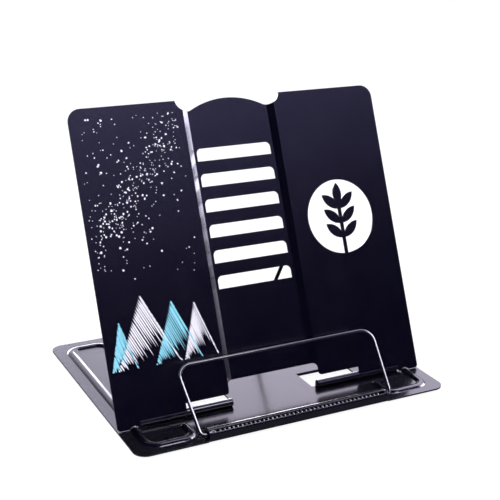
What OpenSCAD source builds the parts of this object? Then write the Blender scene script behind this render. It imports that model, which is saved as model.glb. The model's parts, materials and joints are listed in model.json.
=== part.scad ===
// Folding book stand of stamped sheet steel: a base plate, a hinged back plate,
// a sprung wire page bail in a rolled front hem, and a wire prop at the back.
// Millimetres, +Z up, +X to the reader's right, +Y to the rear.
// The origin is the middle of the base plate's footprint, at the underside of the feet.

/* [Sheet] */
// Thickness of the steel sheet
sheet = 1.0; // [0.8:0.1:1.2]
// How far a rolled hinge stands proud of the sheet that it is rolled from
roll_proud = 0.1; // [0.05:0.05:0.2]

/* [Base plate] */
// Width of the base plate
base_w = 210; // [206:1:240]
// Depth of the base plate
base_d = 170; // [164:1:200]
// Radius of the base plate's corners
base_corner = 8; // [3:1:12]

/* [Feet] */
// Height of a rubber foot
foot_h = 1.5; // [1.2:0.1:4]
// Diameter of a rubber foot
foot_d = 10; // [6:1:12]
// Distance of a foot's centre from the base plate's side edge
foot_in_x = 20; // [18:1:24]
// Distance of a foot's centre from the front or rear edge
foot_in_y = 28; // [24:1:34]

/* [Stiffening beads] */
// Width of a pressed bead
bead_w = 6; // [5:0.5:6.5]
// Height of a pressed bead above the sheet
bead_h = 1.4; // [1.3:0.1:1.7]
// Distance of a bead's centre line from the side edge
bead_side_in = 10.3; // [8.8:0.1:11]
// Distance of a bead's centre line from the front edge
bead_front_in = 8.7; // [7.5:0.1:11]
// Distance of a bead's centre line from the rear edge
bead_rear_in = 11.2; // [9:0.1:18]
// Bend radius of a bead's centre line
bead_bend = 7; // [5.5:0.5:8]
// Distance from the hem's end to the bead's front leg
bead_front_gap = 6; // [5:0.5:8]
// Length of the bead's front leg
bead_front_leg = 14; // [10:1:18]
// Length of the bead's rear run, from the side run to the rear leg
bead_rear_run = 25.5; // [17:0.5:30]
// Length of the bead's rear leg
bead_rear_leg = 12; // [9:1:16]

/* [Front hem] */
// Width of the rolled hem
hem_w = 121; // [110:1:130]
// Inside radius of the hem's curl
hem_bore = 2.6; // [2.4:0.1:3]
// Outside radius of the fold at the hem's lower front edge
hem_fold = 0.7; // [0.5:0.1:0.8]
// Angle above the horizontal at which the hem's window begins, at its front lip
hem_window_from = 28; // [20:1:40]
// Angle above the horizontal at which the hem's window ends, at its rear lip
hem_window_to = 74; // [66:1:100]
// Length of closed hem at each side of the window
hem_window_in = 1.8; // [1.4:0.1:4]
// Angle below the horizontal at which the curl ends, behind the spring
hem_tuck = 25; // [10:1:30]
// How much thicker than the sheet a rounded lip of the window is
hem_lip_swell = 0.1; // [0.1:0.05:0.3]
// Width of the slit between the hem and the flat front rim
hem_slit = 0.5; // [0.5:0.1:2]
// Thickness of the ears that carry the page bail
ear_t = 1.2; // [1:0.1:2]

/* [Hinge] */
// Distance of the hinge axis behind the front edge
hinge_back = 34.9; // [32:0.1:44]
// Diameter of a hinge pin
pin_d = 2.7; // [2.2:0.1:3.4]
// Radial play of a pin in the back plate's roll
pin_play = 0.05; // [0.02:0.01:0.1]
// Gap between a roll and the base plate's floor
hinge_lift = 0.15; // [0.1:0.05:1]
// Distance of a base roll's inner end from the middle
base_roll_in = 30; // [26:1:34]
// Length of a base roll
base_roll_w = 30.5; // [24:0.5:32]
// End gap between a base roll and a back-plate roll
roll_gap = 0.7; // [0.6:0.1:3]
// End gap between a back-plate roll and the bead that passes beside it
roll_bead_gap = 1.25; // [0.75:0.25:4]
// Length of pin that shows at a roll's end
pin_show = 0.4; // [0.2:0.1:1]
// Free width of the window beside a base roll
window_side = 2.5; // [1.5:0.5:4]
// Distance of the window's rear edge behind the hinge axis
window_back = 23.4; // [16:0.1:28]
// Depth of the turned-down lip at the window's rear edge
window_lip = 2.0; // [1.4:0.1:2.1]

/* [Back plate] */
// Distance of the back plate's side edge inside the base plate's side edge
plate_inset = 0; // [0:0.5:4]
// Height of the back plate, from the hinge roll's underside to the top edge
plate_h = 190.5; // [186:0.1:210]
// Angle of the back plate from upright
recline = 22.5; // [18:0.1:28]
// Radius of the back plate's upper corners
plate_corner = 8; // [4:1:14]
// Radius of the back plate's lower corners
plate_low_corner = 2; // [1:0.5:3]
// Height of the wings' lower edges above the base plate, beside the rolls
wing_lift = 0.25; // [0.2:0.05:1]
// Clearance of the arch in a wing's lower edge over the bead
arch_clear = 0.3; // [0.2:0.1:1]
// Radius of the wings' inner lower corners, above the base rolls
wing_foot_corner = 2; // [1:0.5:3]
// Width of the flat bottom of the recessed channel
channel_w = 55; // [54:0.5:60]
// Depth of the recessed channel
channel_depth = 3; // [2:0.1:4]
// Width of the slanted step at each side of the channel
channel_step = 4.2; // [3:0.1:6]
// Height of the cut-out below the channel, above the hinge axis
cut_h = 13.3; // [9:0.1:18]
// Radius of the cut-out's upper corners
cut_corner = 3; // [1:0.5:5]
// Free height above a base roll
relief_gap = 2.9; // [1:0.1:5]

/* [Crest of the back plate] */
// Radius of the arched crest over the channel
crest_r = 54; // [50:1:60]
// Radius of the notch at each side of the crest
notch_r = 8; // [7:0.1:9]
// Depth of the notch below the back plate's top edge
notch_deep = 6.8; // [6:0.1:7.5]

/* [Angle slots] */
// Number of slots for the prop
slot_count = 6; // [5:1:7]
// Width of a slot
slot_w = 51.5; // [44:0.5:53]
// Height of a slot
slot_h = 8; // [6:0.1:9]
// Distance from slot to slot
slot_pitch = 16.02; // [14:0.01:17]
// Height of the top slot's lower edge above the hinge axis
slot_top = 149.5; // [140:0.1:160]
// Radius of a slot's upper corners
slot_corner = 3.2; // [1:0.1:4]
// Length of the lip that holds the prop, behind the sheet
lip_len = 1.5; // [1:0.1:1.8]
// Distance of a lip's end from the slot's end
lip_in = 1; // [0.5:0.5:4]

/* [Leaf cut-out] */
// Radius of the round cut-out
motif_r = 24.2; // [20:0.1:28]
// Distance of the cut-out's centre from the back plate's side edge
motif_in = 38.5; // [34:0.1:42]
// Height of the cut-out's centre above the hinge axis
motif_up = 103.5; // [80:0.5:130]
// Width of the sprig's stem
stem_w = 2.2; // [1.6:0.1:3]
// Length of a leaf
leaf_l = 15; // [11:0.5:16]
// Width of a leaf
leaf_w = 6; // [4.5:0.5:6.5]
// Distance along the stem from leaf pair to leaf pair
leaf_pitch = 9.5; // [9:0.5:10.5]
// Angle of a leaf from the stem
leaf_turn = 48; // [44:1:55]

/* [Page bail] */
// Diameter of the bail's wire
bail_d = 2.0; // [1.6:0.1:2.2]
// Radial play of the bail's wire in its ears
bail_play = 0.05; // [0.02:0.01:0.1]
// Height of the bail, from its axis to the middle of the top bar
bail_reach = 43.4; // [30:0.1:50]
// Angle of the bail above the horizontal, leaning back
bail_lean = 46.7; // [44:0.1:80]
// Outward slant of the bail's legs
bail_splay = 4.5; // [0:0.5:8]
// Distance from the hem's end to the foot of a leg
bail_side = 4.2; // [4:0.1:7]
// Bend radius at the bail's upper corners
bail_corner = 8; // [3:0.5:9]
// Bend radius at the foot of a leg
bail_foot_bend = 3; // [2:0.5:3.5]
// Length of the wire's lower run inside the hem
bail_run = 40; // [20:1:55]

/* [Bail spring] */
// Diameter of the spring's wire
spring_wire = 0.7; // [0.5:0.05:0.7]
// Number of full turns
spring_turns = 39; // [24:1:40]
// Gap between the spring and the hem's curl
spring_seat = 0.25; // [0.2:0.05:0.3]
// Gap between the spring's end and the ear
spring_end = 0.3; // [0.2:0.05:0.4]

/* [Prop] */
// Diameter of the prop's wire
prop_d = 2.4; // [2:0.1:2.8]
// Distance from the middle to a leg of the prop
prop_half = 25.2; // [23:0.1:26]
// Distance of the prop's pivot behind the hinge axis
prop_back = 84; // [80:0.5:90]
// Slot, counted from the top, whose lip holds the crossbar
prop_slot = 5; // [4:1:5]
// Gap between the crossbar and the lip above it
prop_under = 0.1; // [0.05:0.05:0.3]
// Gap between the crossbar and the tips of the lips
prop_clear = 0.3; // [0.2:0.1:0.6]
// Bend radius at the crossbar's ends
prop_corner = 5; // [3:0.5:8]
// Bend radius at the feet
prop_foot_bend = 4; // [3:0.5:5]
// Length of a foot beyond its bend
prop_foot = 9; // [8.6:0.1:14]
// Length of the roll that carries a foot
prop_roll_w = 6.5; // [5:0.1:7]
// Distance from the foot's bend to its roll
prop_roll_gap = 0.8; // [0.5:0.1:1]
// Radial play of a foot in its roll
prop_play = 0.05; // [0.02:0.01:0.1]
// Length of the window behind a prop roll
prop_window = 12; // [8:0.5:16]

/* [Hidden] */
$fn = 64;
// Overrun of a cutter past the faces that it cuts
over = 1;
// Overlap of two joined shapes of one sheet
bite = 0.2;
// Overlap of a wire's straight run and its bend, and how much the wire swells in a bend
bend_lap = 0.2;
bend_swell = 0.015;
// Overlap of the hem's curl and its flat front face, in degrees
curl_lap = 4;
// Overlap of the crest's circle and a notch's circle, so that they cross and don't just touch
notch_lap = 0.02;

enamel = "#1c1a26";
bright_wire = "#34323c";
spring_grey = "#6a6872";
pin_grey = "#85858c";
foot_black = "#151515";

front_y = -base_d / 2;
floor_z = foot_h + sheet;
plate_w = base_w - 2 * plate_inset;
bead_side_x = base_w / 2 - bead_side_in;
bead_r = (bead_w * bead_w / 4 + bead_h * bead_h) / (2 * bead_h);

// Hinge axis and its rolls
pin_r = pin_d / 2;
roll_bore = pin_r + pin_play;
roll_r = roll_bore + sheet;
hinge_y = front_y + hinge_back;
hinge_z = floor_z + roll_r + hinge_lift;
base_roll_out = base_roll_in + base_roll_w;
plate_roll_in = base_roll_out + roll_gap;
plate_roll_out = bead_side_x - bead_w / 2 - roll_bead_gap;

// Bail axis, in the middle of the hem's curl
bail_r = bail_d / 2;
bail_y = front_y + sheet + hem_bore;
bail_z = floor_z + hem_bore;
bail_foot_x = hem_w / 2 + bail_side;
bail_top_x = bail_foot_x + bail_reach * tan(bail_splay);
bail_tip_x = hem_w / 2 - bail_run;

// Back plate, in its own plane: x across, y up from the hinge axis, z to the front
plate_top = plate_h - roll_r;
wing_front = roll_r - roll_proud;
wing_rear = wing_front - sheet;
function wing_end(level) = (level - hinge_z - wing_rear * sin(recline)) / cos(recline);
wing_low = wing_end(floor_z + wing_lift);
arch_top = wing_end(floor_z + bead_h + arch_clear);
channel_front = wing_front - channel_depth;
channel_rear = channel_front - sheet;
channel_half = channel_w / 2;
channel_edge = channel_half + channel_step;
step_shift = sheet * tan(atan2(channel_depth, channel_step) / 2);
notch_up = notch_r - notch_deep;
notch_x = sqrt(pow(crest_r + notch_r - notch_lap, 2) - pow(crest_r + notch_up, 2));
crest_share = crest_r / (crest_r + notch_r);
crest_half = notch_x * crest_share + bite;
crest_drop = crest_r - (crest_r + notch_up) * crest_share;
motif_x = plate_w / 2 - motif_in;
function slot_low(i) = slot_top - i * slot_pitch;

// Prop: its crossbar hangs under a lip, and its feet turn in rolls on the base
prop_r = prop_d / 2;
prop_roll_r = prop_r + prop_play + sheet;
prop_y = hinge_y + prop_back;
prop_z = floor_z + prop_roll_r - roll_proud;
bar_up = slot_low(prop_slot - 1) - sheet - prop_under - prop_r;
bar_out = channel_rear - lip_len - prop_clear - prop_r;
bar_y = hinge_y + bar_up * sin(recline) - bar_out * cos(recline);
bar_z = hinge_z + bar_up * cos(recline) + bar_out * sin(recline);
prop_reach = norm([bar_y - prop_y, bar_z - prop_z]);
prop_angle = atan2(bar_z - prop_z, bar_y - prop_y);
prop_roll_in = prop_half + prop_foot_bend + prop_roll_gap;
prop_foot_x = prop_half + prop_foot_bend + prop_foot;

// Beads: the centre line of the right-hand bead
bead_front_x = hem_w / 2 + bead_front_gap;
bead_rear_x = bead_side_x - bead_rear_run;
bead_front_y = front_y + bead_front_in;
bead_rear_y = -front_y - bead_rear_in;
bead_path = [
    [bead_front_x, bead_front_y + bead_front_leg],
    [bead_front_x, bead_front_y],
    [bead_side_x, bead_front_y],
    [bead_side_x, bead_rear_y],
    [bead_rear_x, bead_rear_y],
    [bead_rear_x, bead_rear_y - bead_rear_leg]
];

function unit(v) = v / norm(v);
function heading(v) = atan2(v.y, v.x);

// A profile carried along a flat path with rounded corners.
// The profile's x runs across the path and its y runs along Z.
// Straight runs reach into the bends by lap, and a bend swells by that share of its profile.
module along(path, bends, lap = 0, swell = 0) {
    last = len(path) - 1;
    turns = [for (i = [1:last - 1])
        let (a = unit(path[i - 1] - path[i]), b = unit(path[i + 1] - path[i]))
        acos(a * b)];
    trims = [for (i = [0:last]) i == 0 || i == last ? 0 : bends[i - 1] / tan(turns[i - 1] / 2) - lap];
    for (i = [0:last - 1]) {
        way = unit(path[i + 1] - path[i]);
        length = norm(path[i + 1] - path[i]) - trims[i] - trims[i + 1];
        start = path[i] + way * trims[i];
        translate([start.x, start.y, 0]) rotate([90, 0, heading(way) + 90])
            linear_extrude(height = length) children();
    }
    for (i = [1:last - 1]) {
        a = unit(path[i - 1] - path[i]);
        b = unit(path[i + 1] - path[i]);
        centre = path[i] + unit(a + b) * bends[i - 1] / sin(turns[i - 1] / 2);
        left_turn = cross(-a, b) > 0;
        entry = path[i] + (left_turn ? a : b) * (trims[i] + lap);
        translate([centre.x, centre.y, 0]) rotate([0, 0, heading(entry - centre)])
            rotate_extrude(angle = 180 - turns[i - 1]) translate([bends[i - 1], 0])
                scale(1 + swell) children();
    }
}

// Both sides of the stand
module both_sides() {
    children();
    mirror([1, 0, 0]) children();
}

// A flat rectangle about the Y axis, with its own radius at the lower and the upper corners
module rounded_panel(width, low, high, low_r, high_r) {
    half = width / 2;
    translate([-half, low + low_r]) square([width, high - low - low_r - high_r]);
    translate([-half + low_r, low]) square([width - 2 * low_r, low_r + bite]);
    translate([-half + high_r, high - high_r - bite]) square([width - 2 * high_r, high_r + bite]);
    for (side = [-1, 1]) {
        translate([side * (half - low_r), low + low_r]) circle(r = low_r);
        translate([side * (half - high_r), high - high_r]) circle(r = high_r);
    }
}

// Cross-section of a bead, above the sheet's upper face
module bead_crown() {
    intersection() {
        translate([0, bead_h - bead_r]) circle(r = bead_r);
        translate([-bead_w / 2, -bite]) square([bead_w, bead_h + 2 * bite]);
    }
}

// Cross-section of the hollow under a bead
module bead_hollow() {
    intersection() {
        translate([0, bead_h - bead_r]) circle(r = bead_r - sheet);
        translate([-bead_w, -sheet - bite]) square([2 * bead_w, bead_h + sheet]);
    }
}

// A rounded end of a bead, from one half of its cross-section
module bead_end() {
    rotate_extrude() intersection() {
        children();
        translate([0, -bead_w]) square(2 * bead_w);
    }
}

module bead_run() {
    bends = [for (i = [2:len(bead_path) - 1]) bead_bend];
    along(bead_path, bends) children();
    for (p = [bead_path[0], bead_path[len(bead_path) - 1]])
        translate([p.x, p.y, 0]) bead_end() children();
}

// Flat blank of the base plate, open at the hem
module base_blank() {
    difference() {
        rounded_panel(base_w, front_y, -front_y, base_corner, base_corner);
        translate([-hem_w / 2 - hem_slit, front_y - over])
            square([hem_w + 2 * hem_slit, sheet + hem_bore + over]);
    }
}

// Windows that the rolls of the base plate were lanced from
module base_windows() {
    front = hinge_y + wing_front;
    translate([base_roll_in - window_side, front])
        square([base_roll_w + 2 * window_side, hinge_y + window_back - front]);
    translate([prop_roll_in - prop_roll_gap, prop_y])
        square([prop_roll_w + 2 * prop_roll_gap, prop_window]);
}

// A sector about the bail's axis, between two angles
module sector(from, to) {
    steps = 6;
    reach = 2 * (hem_bore + sheet);
    polygon(concat([[0, 0]], [for (i = [0:steps])
        let (a = from + (to - from) * i / steps) reach * [cos(a), sin(a)]]));
}

// A part of the hem's curl, between two angles
module hem_curl(from, to) {
    intersection() {
        difference() {
            circle(r = hem_bore + sheet);
            circle(r = hem_bore);
        }
        sector(from, to);
    }
}

// A rounded lip of the hem's window, at an angle on the curl
module hem_lip(angle) {
    rotate(angle) translate([hem_bore + sheet / 2, 0]) circle(d = sheet + hem_lip_swell);
}

// Fold and front face of the hem, in y and z from the bail's axis
module hem_front() {
    curl = hem_bore + sheet;
    translate([hem_fold - curl, -curl]) square([curl - hem_fold + bite, sheet]);
    translate([-curl, hem_fold - curl]) square([sheet, curl - hem_fold]);
    translate([hem_fold - curl, hem_fold - curl]) circle(r = hem_fold);
}

// Section of the hem beside its window
module hem_closed() {
    hem_front();
    hem_curl(-hem_tuck, 180 + curl_lap);
}

// Section of the hem at its window, between the two lips
module hem_open() {
    hem_front();
    hem_curl(-hem_tuck, 180 - hem_window_to);
    hem_curl(180 - hem_window_from, 180 + curl_lap);
    hem_lip(180 - hem_window_to);
    hem_lip(180 - hem_window_from);
}

// Turns a section in y and z into a length along X
module lengthwise(from, to) {
    translate([from, 0, 0]) rotate([90, 0, 90]) linear_extrude(height = to - from) children();
}

// A sheet tab rolled round an axis along X, with its root on the floor in front of it or behind it
module floor_roll(axis_y, axis_z, radius, from, to, behind) {
    reach = radius - roll_proud;
    translate([0, axis_y, axis_z]) lengthwise(from, to) circle(r = radius);
    translate([from, axis_y + (behind ? reach - sheet : -reach), foot_h])
        cube([to - from, sheet, axis_z - foot_h]);
}

module base_plate() {
    ear_r = hem_bore + bite;
    window_end = hem_w / 2 - hem_window_in;
    color(enamel) difference() {
        union() {
            difference() {
                union() {
                    translate([0, 0, foot_h]) linear_extrude(height = sheet) base_blank();
                    both_sides() translate([0, 0, floor_z]) bead_run() bead_crown();
                }
                both_sides() translate([0, 0, floor_z]) bead_run() bead_hollow();
                both_sides() translate([0, 0, foot_h - over])
                    linear_extrude(height = sheet + 2 * over) base_windows();
            }
            translate([0, bail_y, bail_z]) lengthwise(-window_end - bite, window_end + bite) hem_open();
            both_sides() {
                floor_roll(hinge_y, hinge_z, roll_r, base_roll_in, base_roll_out, true);
                floor_roll(prop_y, prop_z, prop_roll_r, prop_roll_in, prop_roll_in + prop_roll_w, false);
                translate([base_roll_in - window_side, hinge_y + window_back - bite, floor_z - window_lip])
                    cube([base_roll_w + 2 * window_side, sheet + bite, window_lip]);
                translate([0, bail_y, bail_z]) {
                    lengthwise(window_end, hem_w / 2) hem_closed();
                    lengthwise(hem_w / 2 - ear_t, hem_w / 2) {
                        circle(r = ear_r);
                        translate([-ear_r, -ear_r]) square(ear_r);
                    }
                }
            }
        }
        both_sides() {
            translate([0, hinge_y, hinge_z])
                lengthwise(base_roll_in - over, base_roll_out + over) circle(r = pin_r);
            translate([0, prop_y, prop_z])
                lengthwise(prop_roll_in - over, prop_roll_in + prop_roll_w + over)
                    circle(r = prop_r + prop_play);
            translate([0, bail_y, bail_z])
                lengthwise(hem_w / 2 - ear_t - over, hem_w / 2 + over) circle(r = bail_r + bail_play);
        }
    }
}

// Section of the back plate's sheet across its width: wings, slanted steps and channel
module plate_section() {
    half = plate_w / 2;
    polygon([
        [-half, wing_rear], [-channel_edge - step_shift, wing_rear],
        [-channel_half - step_shift, channel_rear], [channel_half + step_shift, channel_rear],
        [channel_edge + step_shift, wing_rear], [half, wing_rear],
        [half, wing_front], [channel_edge, wing_front],
        [channel_half, channel_front], [-channel_half, channel_front],
        [-channel_edge, wing_front], [-half, wing_front]
    ]);
}

// Outline of the back plate, with the cut-outs at its foot and its notched crest
module plate_outline() {
    relief_top = roll_r + relief_gap;
    relief_out = base_roll_out + roll_gap / 3;
    arch_r = bead_r + arch_clear;
    difference() {
        rounded_panel(plate_w, wing_low, plate_top, plate_low_corner, plate_corner);
        translate([-plate_roll_out, wing_low - over]) square([2 * plate_roll_out, over - wing_low]);
        for (side = [-1, 1])
            translate([side * bead_side_x, arch_top - arch_r]) circle(r = arch_r);
        rounded_panel(2 * channel_edge, -2 * cut_corner, cut_h, cut_corner, cut_corner);
        translate([-relief_out, -over]) square([2 * relief_out, relief_top + over]);
        for (side = [0, 1]) mirror([side, 0]) translate([channel_edge, relief_top]) difference() {
            translate([-bite, -bite]) square(wing_foot_corner + bite);
            translate([wing_foot_corner, wing_foot_corner]) circle(r = wing_foot_corner);
        }
        difference() {
            translate([-crest_half, plate_top - crest_drop])
                square([2 * crest_half, crest_drop + over]);
            translate([0, plate_top - crest_r]) circle(r = crest_r);
        }
        for (side = [-1, 1])
            translate([side * notch_x, plate_top + notch_up]) circle(r = notch_r);
    }
}

// One slot, with its lower edge on the X axis
module slot_shape() {
    half = slot_w / 2;
    translate([-half, 0]) square([slot_w, slot_h - slot_corner]);
    translate([-half + slot_corner, slot_h - slot_corner - bite])
        square([slot_w - 2 * slot_corner, slot_corner + bite]);
    for (side = [-1, 1])
        translate([side * (half - slot_corner), slot_h - slot_corner]) circle(r = slot_corner);
}

// A leaf along Y from the origin, between two arcs
module leaf() {
    arc_r = (leaf_l * leaf_l + leaf_w * leaf_w) / (4 * leaf_w);
    reach = arc_r - leaf_w / 2;
    translate([0, leaf_l / 2]) intersection() {
        translate([-reach, 0]) circle(r = arc_r);
        translate([reach, 0]) circle(r = arc_r);
    }
}

// A leafy sprig that stands on the rim of the round cut-out
module sprig() {
    pairs = 3;
    first = -leaf_pitch * (pairs - 1) / 2 - leaf_l / 2 + leaf_w / 2;
    last = first + leaf_pitch * (pairs - 1);
    translate([-stem_w / 2, -motif_r - over]) square([stem_w, motif_r + over + last + leaf_w / 2]);
    for (i = [0:pairs - 1])
        for (side = [-1, 1])
            translate([0, first + i * leaf_pitch]) rotate(side * leaf_turn) leaf();
    translate([0, last + stem_w]) leaf();
}

module plate_flat() {
    depth = 2 * (channel_depth + roll_r + lip_len);
    difference() {
        union() {
            intersection() {
                translate([0, plate_top, 0]) rotate([90, 0, 0])
                    linear_extrude(height = plate_top - wing_low) plate_section();
                translate([0, 0, -depth]) linear_extrude(height = 2 * depth) plate_outline();
            }
            both_sides() lengthwise(plate_roll_in, plate_roll_out) circle(r = roll_r);
        }
        for (i = [0:slot_count - 1])
            translate([0, slot_low(i), -depth]) linear_extrude(height = 2 * depth) slot_shape();
        translate([motif_x, motif_up, -depth]) linear_extrude(height = 2 * depth) difference() {
            circle(r = motif_r);
            sprig();
        }
        both_sides() lengthwise(base_roll_in - over, plate_roll_out + pin_show + over)
            circle(r = roll_bore);
    }
    for (i = [0:slot_count - 1])
        translate([-slot_w / 2 + lip_in, slot_low(i) - sheet, channel_rear - lip_len])
            cube([slot_w - 2 * lip_in, sheet, lip_len + sheet]);
}

module back_plate() {
    color(enamel) translate([0, hinge_y, hinge_z]) rotate([90 - recline, 0, 0]) plate_flat();
}

module page_bail() {
    path = [
        [-bail_tip_x, 0], [-bail_foot_x, 0], [-bail_top_x, bail_reach],
        [bail_top_x, bail_reach], [bail_foot_x, 0], [bail_tip_x, 0]
    ];
    bends = [bail_foot_bend, bail_corner, bail_corner, bail_foot_bend];
    color(bright_wire) translate([0, bail_y, bail_z]) rotate([bail_lean, 0, 0])
        along(path, bends, bend_lap, bend_swell) circle(r = bail_r);
}

// Spring: steps of an eighth of a turn, which ease out into a straight tail at each end
ring_sides = 6;
ring_steps = 8;
ease_steps = 4;
tail_ease = 0.6;
coil_r = hem_bore - spring_seat - spring_wire / 2;
coil_steps = spring_turns * ring_steps;
spring_half = hem_w / 2 - ear_t - spring_end;
tail_fixed = tail_ease * (ease_steps + 1) / 2 + spring_wire;
coil_step = (spring_half - tail_fixed) / (coil_steps / 2 + ease_steps);
function eased(j) = j * (j + 1) / (2 * ease_steps);
// Steps counted from the middle of the coil, past its end into the tail
function coil_turned(k) = let (past = max(abs(k) - coil_steps / 2, 0), j = min(past, ease_steps))
    sign(k) * (min(abs(k), coil_steps / 2) + j - eased(j));
function coil_along(k) = let (past = max(abs(k) - coil_steps / 2, 0), j = min(past, ease_steps))
    sign(k) * ((min(abs(k), coil_steps / 2) + j) * coil_step + tail_ease * eased(j)
        + (past > ease_steps ? spring_wire : 0));
coil_last = coil_steps / 2 + ease_steps + 1;
coil_path = [for (k = [-coil_last:coil_last])
    let (turn = 360 / ring_steps * coil_turned(k))
    [coil_along(k), coil_r * cos(turn), coil_r * sin(turn)]];
function coil_way(i) = unit(coil_path[min(i + 1, len(coil_path) - 1)] - coil_path[max(i - 1, 0)]);
function coil_ring(i) =
    let (way = coil_way(i), out = unit([0, coil_path[i].y, coil_path[i].z]),
        side = unit(cross(way, out)), up = cross(side, way))
    [for (s = [0:ring_sides - 1])
        let (a = 360 * s / ring_sides)
        coil_path[i] + spring_wire / 2 * (cos(a) * up + sin(a) * side)];

module bail_spring() {
    rings = len(coil_path);
    points = [for (i = [0:rings - 1]) each coil_ring(i)];
    skin = [for (i = [0:rings - 2], s = [0:ring_sides - 1])
        let (a = i * ring_sides + s, b = i * ring_sides + (s + 1) % ring_sides)
        each [[a, b, b + ring_sides], [a, b + ring_sides, a + ring_sides]]];
    end_fan = [for (s = [1:ring_sides - 2]) [0, s + 1, s]];
    top = (rings - 1) * ring_sides;
    far_fan = [for (f = end_fan) [top + f[0], top + f[2], top + f[1]]];
    apart = min([for (i = [0:rings - 1], j = [i + ring_steps / 2:min(i + 2 * ring_steps, rings - 1)])
        norm(coil_path[i] - coil_path[j])]);
    echo(spring_least_gap = apart - spring_wire);
    color(spring_grey) translate([0, bail_y, bail_z])
        polyhedron(points = points, faces = concat(skin, end_fan, far_fan));
}

module prop_wire() {
    path = [
        [-prop_foot_x, 0], [-prop_half, 0], [-prop_half, prop_reach],
        [prop_half, prop_reach], [prop_half, 0], [prop_foot_x, 0]
    ];
    bends = [prop_foot_bend, prop_corner, prop_corner, prop_foot_bend];
    color(bright_wire) translate([0, prop_y, prop_z]) rotate([prop_angle, 0, 0])
        along(path, bends, bend_lap, bend_swell) circle(r = prop_r);
}

module hinge_pin(side) {
    from = base_roll_in - pin_show;
    to = plate_roll_out + pin_show;
    color(pin_grey) translate([0, hinge_y, hinge_z])
        lengthwise(side > 0 ? from : -to, side > 0 ? to : -from) circle(r = pin_r);
}

module foot(side_x, side_y) {
    color(foot_black)
        translate([side_x * (base_w / 2 - foot_in_x), side_y * (base_d / 2 - foot_in_y), 0])
            cylinder(d = foot_d, h = foot_h);
}

base_plate();
back_plate();
page_bail();
bail_spring();
prop_wire();
hinge_pin(-1);  // hinge_pin_left
hinge_pin(1);  // hinge_pin_right
foot(-1, -1);  // foot_front_left
foot(1, -1);  // foot_front_right
foot(-1, 1);  // foot_rear_left
foot(1, 1);  // foot_rear_right
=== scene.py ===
import json
import math
import bpy
import numpy as np
from mathutils import Matrix, Vector


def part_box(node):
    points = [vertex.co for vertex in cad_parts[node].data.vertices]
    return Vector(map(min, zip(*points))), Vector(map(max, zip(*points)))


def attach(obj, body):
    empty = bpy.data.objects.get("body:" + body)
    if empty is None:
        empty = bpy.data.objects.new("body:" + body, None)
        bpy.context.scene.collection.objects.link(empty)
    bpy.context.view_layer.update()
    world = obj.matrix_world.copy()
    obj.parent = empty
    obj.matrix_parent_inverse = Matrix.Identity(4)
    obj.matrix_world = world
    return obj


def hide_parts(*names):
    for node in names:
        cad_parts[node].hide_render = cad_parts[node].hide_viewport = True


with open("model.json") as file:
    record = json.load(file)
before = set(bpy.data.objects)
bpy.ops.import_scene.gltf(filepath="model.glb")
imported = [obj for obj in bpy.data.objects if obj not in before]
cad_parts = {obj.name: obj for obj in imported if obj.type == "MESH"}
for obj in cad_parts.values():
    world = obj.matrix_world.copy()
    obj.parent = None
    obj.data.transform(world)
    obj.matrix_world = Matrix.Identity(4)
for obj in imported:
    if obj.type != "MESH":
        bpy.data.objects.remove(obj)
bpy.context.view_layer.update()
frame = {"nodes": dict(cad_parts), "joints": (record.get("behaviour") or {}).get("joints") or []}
mm = 0.001
scene = bpy.context.scene
scene.view_settings.view_transform = "Standard"
jointAt = {joint["name"]: np.array(joint["pos_m"]) for joint in frame["joints"]}
print("frame loaded:", len(frame["nodes"]), "nodes")


# camera at the photograph's viewing angle, as a turn, a height and a distance from a target
cameraSet = {
    "azimuth": -26.58,          # degrees from the front, towards the reader's left
    "elevation": 18.48,
    "roll": 0.37,
    "distance": 620.16 * mm,
    "target": (-25.01 * mm, -63.38 * mm, 106.59 * mm),
    "focal": 1078.9,            # pixels, on an image 500 pixels wide
    "imageWide": 500,
    "sensor": 36.0,             # millimetres, as Blender wants it
    "nearest": 20.0 * mm,       # what is nearer to the lens isn't drawn
}


def makeCamera(s):
    # back points from the target to the lens, and the roll turns the picture about it
    azimuth, elevation, roll = (math.radians(s[k]) for k in ("azimuth", "elevation", "roll"))
    back = np.array([math.sin(azimuth) * math.cos(elevation),
                     -math.cos(azimuth) * math.cos(elevation),
                     math.sin(elevation)])
    level = np.array([math.cos(azimuth), math.sin(azimuth), 0.0])
    upright = np.cross(back, level)
    place = np.eye(4)
    place[:3, 0] = math.cos(roll) * level + math.sin(roll) * upright
    place[:3, 1] = math.cos(roll) * upright - math.sin(roll) * level
    place[:3, 2] = back
    place[:3, 3] = np.array(s["target"]) + s["distance"] * back
    lens = bpy.data.cameras.new("photo_view")
    lens.sensor_width = s["sensor"]
    lens.lens = s["focal"] / s["imageWide"] * s["sensor"]
    lens.clip_start = s["nearest"]
    camera = bpy.data.objects.new("photo_view", lens)
    camera.matrix_world = Matrix(place.tolist())
    scene.collection.objects.link(camera)
    scene.camera = camera


makeCamera(cameraSet)
print("camera placed")


# node helpers: an input is given a plain value, or the socket that feeds it
def addNode(tree, kind, inputs=None, **settings):
    node = tree.nodes.new(kind)
    for key, value in settings.items():
        setattr(node, key, value)
    for key, value in (inputs or {}).items():
        if isinstance(value, bpy.types.NodeSocket):
            tree.links.new(value, node.inputs[key])
        else:
            node.inputs[key].default_value = value
    return node


def math2(tree, operation, a, b):
    return addNode(tree, "ShaderNodeMath", {0: a, 1: b}, operation=operation).outputs[0]


def dot(tree, a, b):
    return addNode(tree, "ShaderNodeVectorMath", {0: a, 1: b}, operation="DOT_PRODUCT").outputs["Value"]


def blend(tree, share, a, b):
    # a at share 0 and b at share 1, where each is a colour or the socket of one
    a, b = ((*c, 1.0) if isinstance(c, tuple) else c for c in (a, b))
    node = addNode(tree, "ShaderNodeMix", {"Factor": share, "A": a, "B": b}, data_type="RGBA")
    return node.outputs["Result"]


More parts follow.
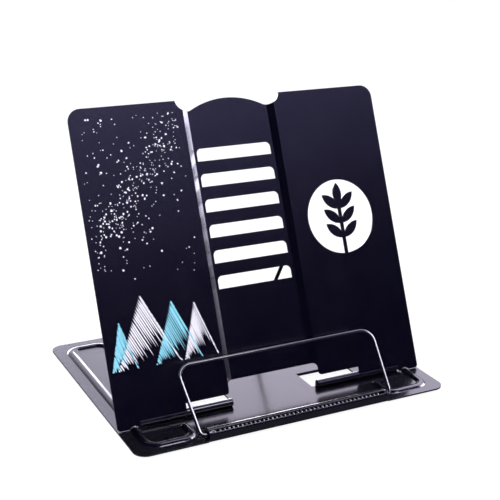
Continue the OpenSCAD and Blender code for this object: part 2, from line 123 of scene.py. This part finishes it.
def ramp(tree, value, low, high, outLow, outHigh, smooth=True):
    # value goes from low to high, and the result from outLow to outHigh, eased at both ends
    node = addNode(tree, "ShaderNodeMapRange",
                   {"Value": value, "From Min": low, "From Max": high, "To Min": outLow, "To Max": outHigh},
                   interpolation_type="SMOOTHSTEP" if smooth else "LINEAR")
    return node.outputs["Result"]


def colourRamp(tree, value, stops):
    node = addNode(tree, "ShaderNodeValToRGB", {"Fac": value})
    elements = node.color_ramp.elements
    elements[0].position, elements[0].color = stops[0][0], (*stops[0][1], 1.0)
    elements[1].position, elements[1].color = stops[-1][0], (*stops[-1][1], 1.0)
    for position, colour in stops[1:-1]:
        elements.new(position).color = (*colour, 1.0)
    return node.outputs["Color"]


def noise(tree, where, scale, detail=2.0, rough=0.5):
    return addNode(tree, "ShaderNodeTexNoise",
                   {"Vector": where, "Scale": scale, "Detail": detail, "Roughness": rough}).outputs["Fac"]


def bump(tree, height, strength, depth, under=None):
    # under is the normal that the bump is added to, if it isn't the mesh's own
    inputs = {"Strength": strength, "Distance": depth, "Height": height}
    if under is not None:
        inputs["Normal"] = under
    return addNode(tree, "ShaderNodeBump", inputs).outputs["Normal"]


def feed(tree, shader, sources):
    for socket, source in sources.items():
        tree.links.new(source, shader.inputs[socket])


def newMaterial(name, settings):
    # a Principled material with its plain values set on the shader's own sockets
    material = bpy.data.materials.new(name)
    material.use_nodes = True
    shader = material.node_tree.nodes["Principled BSDF"]
    for socket, value in settings.items():
        shader.inputs[socket].default_value = value
    return material, material.node_tree, shader


# studio: pale floor, white surroundings behind the stand, dim ones before it
studioSet = {
    "floorHalf": 9.0,           # metres
    "floorGlow": 0.90,          # what the lens and the gloss see of the floor without its shading
    "floorShade": 0.20,         # the part of the floor that takes the shadow
    "floorBounce": 0.80,
    "floorDim": 0.06,           # the share of it that the gloss sees before the stand
    "floorCast": (0.045, 0.040, 0.090),     # the rest of what it sees there
    "floorTurn": (0.3, 1.2),    # metres, from where to where the mirrored floor goes from dim to white
    "ambient": (0.50, 0.50, 0.52),
    "rearWay": (0.53, 0.85, 0.0),       # the white backdrop stands this way
    "rearEdge": (0.50, 0.72),           # where it fades, as a cosine from that way
    "rearLeft": (1.03, 1.00, 1.26),     # its tone grows from the left to the right
    "rearRight": (1.62, 1.50, 1.86),
    "rearTurn": (0.20, 0.42),           # where it does, as the way's x
    "rearRise": (0.08, 0.26),           # it begins and ends at these heights, as a sine
    "rearFall": (0.60, 0.85),
    "stripGlow": (7.0, 6.8, 7.4),       # a bright strip low behind the stand
    "stripRise": (-0.02, 0.04),
    "stripFall": (0.18, 0.30),
    "stripTurn": (0.46, 0.53),          # it fades to the right here, as the way's x
    "frontWay": (0.45, -0.89, 0.0),     # a violet glow stands this way, before the stand
    "frontEdge": (0.35, 0.75),
    "frontRise": (0.32, 0.66),          # it begins and ends at these heights, as a sine
    "frontFall": (0.66, 0.88),
    "frontGlow": (0.55, 0.50, 1.10),
    "frontLow": (0.012, 0.009, 0.050),  # the tone of the rest of the room
    "topWay": (0.28, -0.56, 0.78),      # a white lamp above, before the stand
    "topEdge": (0.980, 0.993),
    "topGlow": (9.0, 8.7, 10.2),
    "sideWay": (0.55, 0.38, 0.74),      # a soft lavender lamp above, to the right
    "sideEdge": (0.93, 0.975),
    "sideGlow": (2.6, 2.4, 3.3),
    "legWay": (0.836, -0.073, 0.545),   # a lamp on the right, which the bail's legs mirror
    "legEdge": (0.965, 0.982),
    "legGlow": (9.0, 8.8, 9.8),
    "rightWay": (0.99, 0.12, 0.0),      # a low panel on the right
    "rightEdge": (0.93, 0.98),
    "rightRise": (-0.03, 0.0),
    "rightFall": (0.05, 0.12),
    "rightGlow": (2.4, 2.3, 2.9),
}


def towards(tree, way, middle, edge):
    # 1 about the middle way and 0 away from it, between two cosines
    return ramp(tree, dot(tree, way, middle), *edge, 0.0, 1.0)


def heightBand(tree, height, rise, fall):
    return math2(tree, "MULTIPLY", ramp(tree, height, *rise, 0.0, 1.0), ramp(tree, height, *fall, 1.0, 0.0))


def makeWorld(s):
    world = bpy.data.worlds.new("studio")
    scene.world = world
    world.use_nodes = True
    world.cycles.sampling_method = "NONE"
    tree = world.node_tree
    tree.nodes.clear()
    way = addNode(tree, "ShaderNodeTexCoord").outputs["Generated"]
    parts = addNode(tree, "ShaderNodeSeparateXYZ", {"Vector": way})
    height = parts.outputs["Z"]
    toRear = towards(tree, way, s["rearWay"], s["rearEdge"])
    backdrop = math2(tree, "MULTIPLY", toRear, heightBand(tree, height, s["rearRise"], s["rearFall"]))
    turn = ramp(tree, parts.outputs["X"], *s["rearTurn"], 0.0, 1.0)
    white = blend(tree, turn, s["rearLeft"], s["rearRight"])
    facing = math2(tree, "MULTIPLY", towards(tree, way, s["frontWay"], s["frontEdge"]),
                   heightBand(tree, height, s["frontRise"], s["frontFall"]))
    front = blend(tree, facing, s["frontLow"], s["frontGlow"])
    aside = math2(tree, "MULTIPLY", toRear, ramp(tree, parts.outputs["X"], *s["stripTurn"], 1.0, 0.0))
    strip = math2(tree, "MULTIPLY", aside, heightBand(tree, height, s["stripRise"], s["stripFall"]))
    panel = math2(tree, "MULTIPLY", towards(tree, way, s["rightWay"], s["rightEdge"]),
                  heightBand(tree, height, s["rightRise"], s["rightFall"]))
    mirrored = blend(tree, strip, blend(tree, backdrop, front, white), s["stripGlow"])
    mirrored = blend(tree, towards(tree, way, s["topWay"], s["topEdge"]), mirrored, s["topGlow"])
    mirrored = blend(tree, towards(tree, way, s["sideWay"], s["sideEdge"]), mirrored, s["sideGlow"])
    mirrored = blend(tree, towards(tree, way, s["legWay"], s["legEdge"]), mirrored, s["legGlow"])
    mirrored = blend(tree, panel, mirrored, s["rightGlow"])
    path = addNode(tree, "ShaderNodeLightPath")
    seen = math2(tree, "MAXIMUM", path.outputs["Is Camera Ray"], path.outputs["Is Transmission Ray"])
    soft = addNode(tree, "ShaderNodeBackground", {"Color": (*s["ambient"], 1.0)})
    gloss = addNode(tree, "ShaderNodeBackground", {"Color": mirrored})
    plain = addNode(tree, "ShaderNodeBackground", {"Color": (1.0, 1.0, 1.0, 1.0)})
    lit = addNode(tree, "ShaderNodeMixShader",
                  {0: path.outputs["Is Glossy Ray"], 1: soft.outputs[0], 2: gloss.outputs[0]})
    whole = addNode(tree, "ShaderNodeMixShader", {0: seen, 1: lit.outputs[0], 2: plain.outputs[0]})
    addNode(tree, "ShaderNodeOutputWorld", {"Surface": whole.outputs[0]})


def makeFloor(s):
    half = s["floorHalf"]
    mesh = bpy.data.meshes.new("studio_floor")
    corners = [(-half, -half, 0), (half, -half, 0), (half, half, 0), (-half, half, 0)]
    mesh.from_pydata(corners, [], [(0, 1, 2, 3)])
    floor = bpy.data.objects.new("studio_floor", mesh)
    scene.collection.objects.link(floor)
    material = bpy.data.materials.new("studio_floor")
    material.use_nodes = True
    material.cycles.emission_sampling = "NONE"
    tree = material.node_tree
    tree.nodes.clear()
    path = addNode(tree, "ShaderNodeLightPath")
    gloss = math2(tree, "MAXIMUM", path.outputs["Is Glossy Ray"], path.outputs["Is Transmission Ray"])
    seen = math2(tree, "MAXIMUM", path.outputs["Is Camera Ray"], gloss)
    where = addNode(tree, "ShaderNodeNewGeometry").outputs["Position"]
    behind = addNode(tree, "ShaderNodeSeparateXYZ", {"Vector": where}).outputs["Y"]
    share = ramp(tree, behind, *s["floorTurn"], s["floorDim"], 1.0)
    plain = math2(tree, "MAXIMUM", share, path.outputs["Is Camera Ray"])
    glow = addNode(tree, "ShaderNodeEmission", {"Color": (1.0, 1.0, 1.0, 1.0), "Strength": s["floorGlow"]})
    shade = addNode(tree, "ShaderNodeBsdfDiffuse", {"Color": (*[s["floorShade"]] * 3, 1.0)})
    bright = addNode(tree, "ShaderNodeAddShader", {0: glow.outputs[0], 1: shade.outputs[0]})
    cast = addNode(tree, "ShaderNodeEmission", {"Color": (*s["floorCast"], 1.0)})
    both = addNode(tree, "ShaderNodeMixShader", {0: plain, 1: cast.outputs[0], 2: bright.outputs[0]})
    bounce = addNode(tree, "ShaderNodeBsdfDiffuse", {"Color": (*[s["floorBounce"]] * 3, 1.0)})
    whole = addNode(tree, "ShaderNodeMixShader", {0: seen, 1: bounce.outputs[0], 2: both.outputs[0]})
    addNode(tree, "ShaderNodeOutputMaterial", {"Surface": whole.outputs[0]})
    mesh.materials.append(material)


lampSet = {
    # name: place, point that it faces, size in metres, watts, tone, seen in gloss
    "softbox_right": ((0.85, 0.06, 0.29), (0.0, 0.0, 0.12), 0.26, 2.5, (0.80, 0.77, 1.0), True),
    "softbox_above": ((-0.15, -0.35, 1.30), (0.0, 0.0, 0.05), 1.20, 16.0, (1.0, 1.0, 1.0), False),
    "fill_left": ((-1.10, -0.60, 0.70), (0.0, 0.0, 0.08), 0.90, 6.0, (1.0, 1.0, 1.0), False),
}


def makeLamps(lamps):
    for name, (place, faces, size, watts, tone, inGloss) in lamps.items():
        light = bpy.data.lights.new(name, "AREA")
        light.shape = "SQUARE"
        light.size = size
        light.energy = watts
        light.color = tone
        lamp = bpy.data.objects.new(name, light)
        lamp.location = place
        lamp.rotation_euler = (Vector(faces) - Vector(place)).to_track_quat("-Z", "Y").to_euler()
        lamp.visible_camera = False
        lamp.visible_glossy = inGloss
        scene.collection.objects.link(lamp)


makeWorld(studioSet)
makeFloor(studioSet)
makeLamps(lampSet)
print("studio lit")


# finishes
enamelSet = {
    "dark": (0.0007, 0.0005, 0.0018),   # violet-black, in the paint's deeper patches
    "light": (0.0014, 0.0011, 0.0030),
    "worn": (0.005, 0.0045, 0.008),     # where the paint thins over an edge
    "mottle": 60.0,                     # patches per metre
    "peel": 620.0,                      # orange-peel bumps per metre
    "dust": 5200.0,                     # fine grain per metre
    "edge": 0.20 * mm,                  # radius of the paint over an edge
    "edgeTurn": (0.97, 0.78),           # cosines of the turn at which wear begins and is full
    "wear": (0.10, 0.85),               # least and most wear at an edge
    "wornRough": 0.15,                  # roughness that full wear adds
    "satin": (0.18, 0.22),              # smoothest and roughest
}


def enamelMaterial(s):
    material, tree, shader = newMaterial("violet_black_enamel", {
        "IOR": 1.5, "Coat Weight": 1.0, "Coat Roughness": 0.15, "Coat IOR": 1.5})
    where = addNode(tree, "ShaderNodeTexCoord").outputs["Object"]
    patches = noise(tree, where, s["mottle"], 4.0, 0.55)
    grain = noise(tree, where, s["dust"], 2.0, 0.6)
    peel = noise(tree, where, s["peel"], 1.5, 0.4)
    rounded = addNode(tree, "ShaderNodeBevel", {"Radius": s["edge"]}, samples=6).outputs["Normal"]
    flat = addNode(tree, "ShaderNodeNewGeometry").outputs["Normal"]
    edge = ramp(tree, dot(tree, rounded, flat), *s["edgeTurn"], 0.0, 1.0)
    worn = math2(tree, "MULTIPLY", edge, ramp(tree, patches, 0.45, 0.75, *s["wear"]))
    paint = colourRamp(tree, patches, [(0.30, s["dark"]), (0.72, s["light"])])
    colour = blend(tree, worn, paint, s["worn"])
    satin = ramp(tree, patches, 0.30, 0.70, *s["satin"])
    rough = math2(tree, "ADD", satin, math2(tree, "MULTIPLY", worn, s["wornRough"]))
    skin = bump(tree, peel, 0.10, 0.02 * mm, rounded)
    fine = bump(tree, grain, 0.06, 0.004 * mm, skin)
    feed(tree, shader, {"Base Color": colour, "Roughness": rough, "Normal": fine, "Coat Normal": skin})
    return material


wireSet = {
    "dark": (0.0008, 0.0008, 0.0014),
    "light": (0.0022, 0.0021, 0.0034),
    "streak": (260.0, 4200.0, 1.0),     # streaks per metre along the wire and round it
    "mottle": 240.0,                    # patches per metre
    "satin": (0.16, 0.26),              # smoothest and roughest, under the coat
}


def coatedWireMaterial(s):
    material, tree, shader = newMaterial("gloss_black_wire", {
        "IOR": 1.5, "Coat Weight": 1.0, "Coat Roughness": 0.03, "Coat IOR": 2.2})
    where = addNode(tree, "ShaderNodeTexCoord").outputs["UV"]
    drawn = addNode(tree, "ShaderNodeMapping", {"Vector": where, "Scale": s["streak"]})
    streaks = noise(tree, drawn.outputs["Vector"], 1.0, 3.0, 0.55)
    solid = addNode(tree, "ShaderNodeTexCoord").outputs["Object"]
    patches = noise(tree, solid, s["mottle"], 3.0, 0.5)
    colour = colourRamp(tree, patches, [(0.30, s["dark"]), (0.75, s["light"])])
    rough = ramp(tree, streaks, 0.30, 0.70, *s["satin"])
    skin = bump(tree, streaks, 0.08, 0.01 * mm)
    feed(tree, shader, {"Base Color": colour, "Roughness": rough, "Normal": skin, "Coat Normal": skin})
    return material


steelSet = {
    # name: metallic share, dark tone, light tone, smoothest, roughest, lines per metre across and along
    "spring_steel": (0.45, (0.46, 0.46, 0.50), (0.70, 0.69, 0.74), 0.24, 0.40, 5200.0, 900.0),
    "plain_steel_pin": (1.0, (0.14, 0.14, 0.15), (0.24, 0.24, 0.26), 0.18, 0.34, 5200.0, 500.0),
}
steelMottle = 180.0             # patches of tone per metre


def steelMaterial(name, metal, dark, light, roughLow, roughHigh, across, along):
    # drawn steel: fine lines along the wire, with a slow change of tone
    material, tree, shader = newMaterial(name, {"Metallic": metal})
    where = addNode(tree, "ShaderNodeTexCoord").outputs["Object"]
    drawn = addNode(tree, "ShaderNodeMapping", {"Vector": where, "Scale": (along, across, across)})
    lines = noise(tree, drawn.outputs["Vector"], 1.0, 3.0, 0.6)
    tone = noise(tree, where, steelMottle, 3.0, 0.5)
    colour = colourRamp(tree, tone, [(0.30, dark), (0.72, light)])
    rough = ramp(tree, lines, 0.25, 0.75, roughLow, roughHigh)
    skin = bump(tree, lines, 0.12, 0.01 * mm)
    feed(tree, shader, {"Base Color": colour, "Roughness": rough, "Normal": skin})
    return material


rubberSet = {
    "dark": (0.010, 0.010, 0.011),
    "light": (0.026, 0.026, 0.028),
    "grain": 2600.0,            # bumps per metre
    "bloom": 220.0,             # greyer patches per metre
    "matt": (0.62, 0.85),       # smoothest and roughest
}


def rubberMaterial(s):
    material, tree, shader = newMaterial("matt_black_rubber", {"IOR": 1.5, "Specular IOR Level": 0.35})
    where = addNode(tree, "ShaderNodeTexCoord").outputs["Object"]
    grain = noise(tree, where, s["grain"], 4.0, 0.6)
    bloom = noise(tree, where, s["bloom"], 3.0, 0.5)
    colour = colourRamp(tree, bloom, [(0.30, s["dark"]), (0.75, s["light"])])
    rough = ramp(tree, grain, 0.25, 0.75, *s["matt"])
    skin = bump(tree, grain, 0.35, 0.04 * mm)
    feed(tree, shader, {"Base Color": colour, "Roughness": rough, "Normal": skin})
    return material


inkSet = {
    "cover": 900.0,             # thinner and fuller patches per metre
    "screen": 4200.0,           # marks of the printing screen per metre
    "satin": (0.46, 0.32),      # roughness where the ink is thin and where it is full
    "pale": ((0.50, 0.49, 0.60), (0.80, 0.78, 0.88)),   # thin and full
    "blue": ((0.16, 0.42, 0.54), (0.26, 0.66, 0.84)),
}


def inkMaterial(name, thin, full, s):
    # screen-printed ink: the paint below shows a little where the ink is thin
    material, tree, shader = newMaterial(name, {"IOR": 1.5, "Coat Weight": 0.3, "Coat Roughness": 0.12})
    where = addNode(tree, "ShaderNodeTexCoord").outputs["Object"]
    cover = noise(tree, where, s["cover"], 4.0, 0.6)
    screen = noise(tree, where, s["screen"], 1.0, 0.5)
    colour = colourRamp(tree, cover, [(0.24, thin), (0.46, full)])
    rough = ramp(tree, cover, 0.30, 0.70, *s["satin"])
    skin = bump(tree, screen, 0.20, 0.01 * mm)
    feed(tree, shader, {"Base Color": colour, "Roughness": rough, "Normal": skin})
    return material


enamel = enamelMaterial(enamelSet)
coatedWire = coatedWireMaterial(wireSet)
springSteel, pinSteel = (steelMaterial(name, *values) for name, values in steelSet.items())
rubber = rubberMaterial(rubberSet)
paleInk = inkMaterial("pale_lavender_ink", *inkSet["pale"], inkSet)
blueInk = inkMaterial("light_blue_ink", *inkSet["blue"], inkSet)

nodeFinish = {
    "base_plate": enamel, "back_plate": enamel,
    "hinge_pin_left": pinSteel, "hinge_pin_right": pinSteel,
    "foot_front_left": rubber, "foot_front_right": rubber,
    "foot_rear_left": rubber, "foot_rear_right": rubber,
}
for nodeName, finish in nodeFinish.items():
    frame["nodes"][nodeName].material_slots[0].material = finish
print("finishes set on", len(nodeFinish), "solids")


# mesh helpers
def newPiece(name, vertices, faces, material, body, uvs=None):
    mesh = bpy.data.meshes.new(name)
    mesh.from_pydata(vertices, [], faces)
    mesh.polygons.foreach_set("use_smooth", np.ones(len(mesh.polygons), bool))
    if uvs is not None:
        layer = mesh.uv_layers.new(name="along")
        corner = np.empty(len(mesh.loops), np.int32)
        mesh.loops.foreach_get("vertex_index", corner)
        layer.data.foreach_set("uv", uvs[corner].astype(np.float32).ravel())
    mesh.materials.append(material)
    mesh.update()
    piece = bpy.data.objects.new(name, mesh)
    scene.collection.objects.link(piece)
    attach(piece, body)
    return piece


def roundedPath(corners, bends, arcSteps):
    # straight runs between flat corner points, and an arc of the given radius at each inner corner
    corners = np.asarray(corners, float)
    points = [corners[:1]]
    for before, corner, after, bend in zip(corners[:-2], corners[1:-1], corners[2:], bends):
        a = (before - corner) / np.linalg.norm(before - corner)
        b = (after - corner) / np.linalg.norm(after - corner)
        half = math.acos(np.clip(a @ b, -1, 1)) / 2
        middle = (a + b) / np.linalg.norm(a + b)
        centre = corner + middle * bend / math.sin(half)
        sweep = np.linspace(-(math.pi / 2 - half), math.pi / 2 - half, arcSteps)[:, None]
        across = (b - a) / np.linalg.norm(b - a)
        points.append(centre - bend * np.cos(sweep) * middle + bend * np.sin(sweep) * across)
    points.append(corners[-1:])
    return np.concatenate(points)


def evenPath(path, step):
    # the same line, with extra points so that no run is longer than a step
    runs = np.linalg.norm(np.diff(path, axis=0), axis=1)
    counts = np.maximum(np.ceil(runs / step).astype(int), 1)
    parts = [path[i] + (path[i + 1] - path[i]) * np.linspace(0, 1, n, endpoint=False)[:, None]
             for i, n in enumerate(counts)]
    return np.concatenate(parts + [path[-1:]])


domeEnd = 0.97 * math.pi / 2    # a wire's dome stops a little short of its pole, at a flat cap


def wireSurface(path, side, radius, around, domeSteps):
    # a circle carried along the path: point = path + r (cos a * side + sin a * (way x side))
    # each end closes in a dome
    way = np.gradient(path, axis=0)
    way /= np.linalg.norm(way, axis=1)[:, None]
    side = np.broadcast_to(side, path.shape)
    side = side - (side * way).sum(1)[:, None] * way
    side = side / np.linalg.norm(side, axis=1)[:, None]
    tilt = np.linspace(0, domeEnd, domeSteps + 1)[1:]
    ends = np.ones(domeSteps)[:, None]
    path = path.copy()
    tips = path[0].copy(), path[-1].copy()
    path[0] += radius * way[0]
    path[-1] -= radius * way[-1]
    centre = np.concatenate([tips[0] + radius * (1 - np.sin(tilt)[::-1, None]) * way[0],
                             path,
                             tips[1] - radius * (1 - np.sin(tilt)[:, None]) * way[-1]])
    side = np.concatenate([ends * side[0], side, ends * side[-1]])
    way = np.concatenate([ends * way[0], way, ends * way[-1]])
    size = np.concatenate([radius * np.cos(tilt)[::-1], np.full(len(path), radius), radius * np.cos(tilt)])
    angle = np.linspace(0, 2 * math.pi, around, endpoint=False)
    ring = (np.cos(angle)[None, :, None] * side[:, None] +
            np.sin(angle)[None, :, None] * np.cross(way, side)[:, None])
    vertices = (centre[:, None] + size[:, None, None] * ring).reshape(-1, 3)
    rings = len(centre)
    i, j = np.meshgrid(np.arange(rings - 1), np.arange(around), indexing="ij")
    k = (j + 1) % around
    skin = np.stack([i * around + j, i * around + k, (i + 1) * around + k, (i + 1) * around + j], -1)
    caps = [list(range(around))[::-1], list(range((rings - 1) * around, rings * around))]
    gone = np.concatenate([[0], np.cumsum(np.linalg.norm(np.diff(centre, axis=0), axis=1))])
    uvs = np.stack([np.repeat(gone, around), np.tile(angle * radius, rings)], -1)
    return vertices, skin.reshape(-1, 4).tolist() + caps, uvs


# page bail and prop: each is one bent wire in a leaning plane
bailSet = {
    "wire": 1.0 * mm,           # radius
    "tip": 20.5 * mm,           # where the wire ends inside the hem
    "foot": 64.7 * mm,          # where each leg begins, from the middle
    "corner": 8.0 * mm,
    "footBend": 3.0 * mm,
    "step": 2.5 * mm,
    "arcSteps": 15,
    "around": 20,
    "domeSteps": 5,
}
propSet = {
    "wire": 1.2 * mm,
    "tip": 38.2 * mm,
    "leg": 25.2 * mm,           # each leg's distance from the middle
    "corner": 5.0 * mm,
    "footBend": 4.0 * mm,
    "step": 2.5 * mm,
    "arcSteps": 15,
    "around": 20,
    "domeSteps": 5,
}


def bentWire(name, s, pivot, bar, footX, barX, body):
    # the path lies in the plane of the x axis and of the line from the pivot to the bar
    up = bar - pivot
    reach = np.linalg.norm(up)
    up = up / reach
    corners = [(-s["tip"], 0), (-footX, 0), (-barX, reach), (barX, reach), (footX, 0), (s["tip"], 0)]
    bends = [s["footBend"], s["corner"], s["corner"], s["footBend"]]
    flat = evenPath(roundedPath(corners, bends, s["arcSteps"]), s["step"])
    path = pivot + flat[:, :1] * np.array([1.0, 0, 0]) + flat[:, 1:] * up
    side = np.cross([1.0, 0, 0], up)
    vertices, faces, uvs = wireSurface(path, side, s["wire"], s["around"], s["domeSteps"])
    return newPiece(name, vertices, faces, coatedWire, body, uvs)


def barOf(node, wire, frontBar):
    # the crossbar is the highest part of the wire, at its front or its rear
    low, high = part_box(node)
    return np.array([0.0, low.y + wire if frontBar else high.y - wire, high.z - wire])


bailBar = barOf("page_bail", bailSet["wire"], False)
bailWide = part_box("page_bail")[1].x - bailSet["wire"]
pageBail = bentWire("page_bail_wire", bailSet, jointAt["bail_swing"], bailBar,
                    bailSet["foot"], bailWide, "bail")
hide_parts("page_bail")
propBar = barOf("prop_wire", propSet["wire"], True)
propWire = bentWire("prop_wire_smooth", propSet, jointAt["prop_fold"], propBar,
                    propSet["leg"], propSet["leg"], "prop")
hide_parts("prop_wire")
print("wires bent")


# coil spring in the hem: turns about the bail's axis that ease out into a straight tail at each end
springSet = {
    "wire": 0.35 * mm,
    "coil": 2.0 * mm,
    "turns": 39,
    "perTurn": 8,               # steps of the formula in a turn
    "easeSteps": 4,
    "tailEase": 0.6 * mm,
    "tail": 0.7 * mm,
    "finer": 4,                 # rings in a step
    "around": 12,
    "domeSteps": 3,
}


def coilSpring(s, axis, half):
    # steps k run from the middle
    # past the coil's end the turning slows and the wire runs out along the axis
    coilSteps = s["turns"] * s["perTurn"] / 2
    ease = s["easeSteps"]
    pitchStep = (half - s["tailEase"] * (ease + 1) / 2 - s["tail"]) / (coilSteps + ease)
    last = coilSteps + ease + 1
    k = np.linspace(-last, last, int(2 * last * s["finer"]) + 1)
    past = np.maximum(np.abs(k) - coilSteps, 0)
    j = np.minimum(past, ease)
    eased = j * (j + 1) / (2 * ease)
    wound = np.minimum(np.abs(k), coilSteps) + j
    turn = np.sign(k) * (wound - eased) * 2 * math.pi / s["perTurn"]
    tail = s["tail"] * np.maximum(past - ease, 0)
    along = np.sign(k) * (wound * pitchStep + s["tailEase"] * eased + tail)
    out = np.stack([np.zeros_like(k), np.cos(turn), np.sin(turn)], -1)
    path = axis + s["coil"] * out
    path[:, 0] += along
    vertices, faces, uvs = wireSurface(path, out, s["wire"], s["around"], s["domeSteps"])
    spring = newPiece("bail_coil_spring", vertices, faces, springSteel, "base", uvs)
    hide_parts("bail_spring")


coilSpring(springSet, jointAt["bail_swing"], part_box("bail_spring")[1].x)
print("spring wound")


# printed night sky and peaks on the left wing, as films of ink on the sheet
plateSet = {
    "recline": math.radians(22.5),
    "wingFront": 2.3 * mm,      # the wings' front face, before the hinge axis
    "film": 0.04 * mm,
    "sunk": 0.01 * mm,
}


def onWing(across, up, out):
    # a point of the back plate's own plane: across it, up from the hinge axis, and out to the front
    lean = plateSet["recline"]
    y = up * math.sin(lean) - out * math.cos(lean)
    z = up * math.cos(lean) + out * math.sin(lean)
    return jointAt["back_plate_fold"] + np.stack([across, y, z], -1)


def inkFilms(name, outlines, material, lift=0.0):
    # each outline (points anticlockwise, in the wing's plane) becomes a closed thin prism
    count, corners, _ = outlines.shape
    low = onWing(outlines[..., 0], outlines[..., 1], plateSet["wingFront"] - plateSet["sunk"])
    high = onWing(outlines[..., 0], outlines[..., 1], plateSet["wingFront"] + plateSet["film"] + lift)
    vertices = np.stack([low, high], 1).reshape(-1, 3)
    start = (np.arange(count) * 2 * corners)[:, None]
    c = np.arange(corners)[None]
    d = (c + 1) % corners
    walls = np.stack([start + c, start + d, start + corners + d, start + corners + c], -1).reshape(-1, 4)
    tops = start + corners + c
    bottoms = start + c[:, ::-1]
    faces = walls.tolist() + tops.tolist() + bottoms.tolist()
    piece = newPiece(name, vertices, faces, material, "back")
    piece.data.polygons.foreach_set("use_smooth", np.zeros(len(piece.data.polygons), bool))


skySet = {
    "seed": 11,
    "stars": 430,
    "left": -102.0 * mm, "right": -36.0 * mm,
    "low": 82.0 * mm, "high": 182.0 * mm,
    "small": 0.28 * mm, "big": 0.80 * mm,
    "corners": 7,
    "tries": 6000,              # places drawn, of which the denser ones are kept
    "arc": (0.30, 0.75, 1.6),   # foot, rise and bend of the arc, as shares of the field
    "spread": 0.16,             # width of the arc
    "haze": (0.16, 0.05),       # stars away from it: growing upwards, and everywhere
    "kept": 0.55,
    "rarity": 3.2,              # the higher, the fewer big stars
    "uneven": (0.62, 1.25),     # each corner's distance, as shares of the star's size
}


def starField(s):
    # stars gather along an arc that climbs to the right, and thin out away from it
    rng = np.random.default_rng(s["seed"])
    tries = rng.random((s["tries"], 2))
    across, up = tries[:, 0], tries[:, 1]
    foot, rise, bend = s["arc"]
    arc = foot + rise * across ** bend
    density = np.exp(-((up - arc) / s["spread"]) ** 2) + s["haze"][0] * up + s["haze"][1]
    kept = tries[rng.random(len(tries)) < density * s["kept"]][:s["stars"]]
    place = np.stack([s["left"] + kept[:, 0] * (s["right"] - s["left"]),
                      s["low"] + kept[:, 1] * (s["high"] - s["low"])], -1)
    size = s["small"] + (s["big"] - s["small"]) * rng.random(len(place)) ** s["rarity"]
    angle = np.linspace(0, 2 * math.pi, s["corners"], endpoint=False)
    uneven = rng.uniform(*s["uneven"], (len(place), s["corners"]))
    turn = rng.uniform(0, 2 * math.pi, len(place))[:, None] + angle
    blot = size[:, None, None] * uneven[..., None] * np.stack([np.cos(turn), np.sin(turn)], -1)
    return place[:, None] + blot


peakSet = {
    "seed": 5,
    "foot": 31.0 * mm,
    "spacing": 1.7 * mm,
    "stroke": 1.15 * mm,
    "first": 0.35,              # the first stroke's place, as a share of the spacing
    "jitter": 0.15,             # of a stroke's place, as a share of the spacing
    "long": (0.50, 0.82),       # a stroke's length, as a share of the way to the foot
    "least": 1.2 * mm,
    "thick": (0.65, 1.1),
    "swell": 0.12,              # where a stroke is widest, as a share of its length
    "taper": (0.55, 0.8),       # where it begins to narrow
    "slim": 0.75,               # its width there, as a share of the widest
    "rimSpacing": 2.6 * mm,
    "rimJitter": (0.0, 0.3),
    "rimFull": (0.2, 0.7),      # from where to where a stroke of the rim has its full width
    "rimLong": (2.4, 4.6),      # millimetres, as are the rim's widths
    "rimWide": (0.25, 0.5),
    "blueLift": 0.01 * mm,      # the blue ink lies over the pale
    # middle, half width and height of each peak, in millimetres
    "pale": [(-79.0, 20.0, 43.0), (-45.5, 11.0, 34.0)],
    "blue": [(-94.5, 8.0, 29.0), (-60.0, 15.0, 37.0)],
}


def peakStrokes(peaks, s, rng):
    # each peak is hatched: strokes start on its left edge and run down parallel to its right edge
    strokes = []
    for middle, half, height in peaks:
        top = np.array([middle * mm, s["foot"] + height * mm])
        left = np.array([(middle - half) * mm, s["foot"]])
        right = np.array([(middle + half) * mm, s["foot"]])
        count = int(np.linalg.norm(left - top) / s["spacing"])
        t = (np.arange(count) + s["first"] + rng.uniform(-s["jitter"], s["jitter"], count)) / count
        start = top + t[:, None] * (left - top)
        way = (right - top) / np.linalg.norm(right - top)
        room = (start[:, 1] - s["foot"]) / -way[1]
        length = np.minimum(room * rng.uniform(*s["long"], count) + s["least"], room)
        thick = s["stroke"] * rng.uniform(*s["thick"], count)
        end = start + way * length[:, None]
        normal = np.array([way[1], -way[0]])
        body = start + way * length[:, None] * s["swell"]
        tail = start + way * length[:, None] * rng.uniform(*s["taper"], count)[:, None]
        wide = normal * thick[:, None] / 2
        slim = wide * s["slim"]
        strokes.append(np.stack([start, body - wide, tail - slim, end, tail + slim, body + wide], 1))
        rim = int(np.linalg.norm(right - top) / s["rimSpacing"])
        t = (np.arange(rim) + rng.uniform(*s["rimJitter"], rim)) / rim
        start = top + t[:, None] * (right - top)
        end = start + way * rng.uniform(*s["rimLong"], rim)[:, None] * mm
        end[:, 1] = np.maximum(end[:, 1], s["foot"])
        wide = normal * rng.uniform(*s["rimWide"], rim)[:, None] * mm
        body, tail = (start + (end - start) * share for share in s["rimFull"])
        strokes.append(np.stack([start, body - wide, tail - wide, end, tail + wide, body + wide], 1))
    return np.concatenate(strokes)


def anticlockwise(outlines):
    # turns round each outline whose signed area is negative
    x, y = outlines[..., 0], outlines[..., 1]
    area = (x * np.roll(y, -1, 1) - np.roll(x, -1, 1) * y).sum(1)
    return np.where((area < 0)[:, None, None], outlines[:, ::-1], outlines)


inkFilms("ink_stars", starField(skySet), paleInk)
peakRng = np.random.default_rng(peakSet["seed"])
palePeaks = anticlockwise(peakStrokes(peakSet["pale"], peakSet, peakRng))
bluePeaks = anticlockwise(peakStrokes(peakSet["blue"], peakSet, peakRng))
inkFilms("ink_peaks_pale", palePeaks, paleInk)
inkFilms("ink_peaks_blue", bluePeaks, blueInk, peakSet["blueLift"])
print("ink printed")
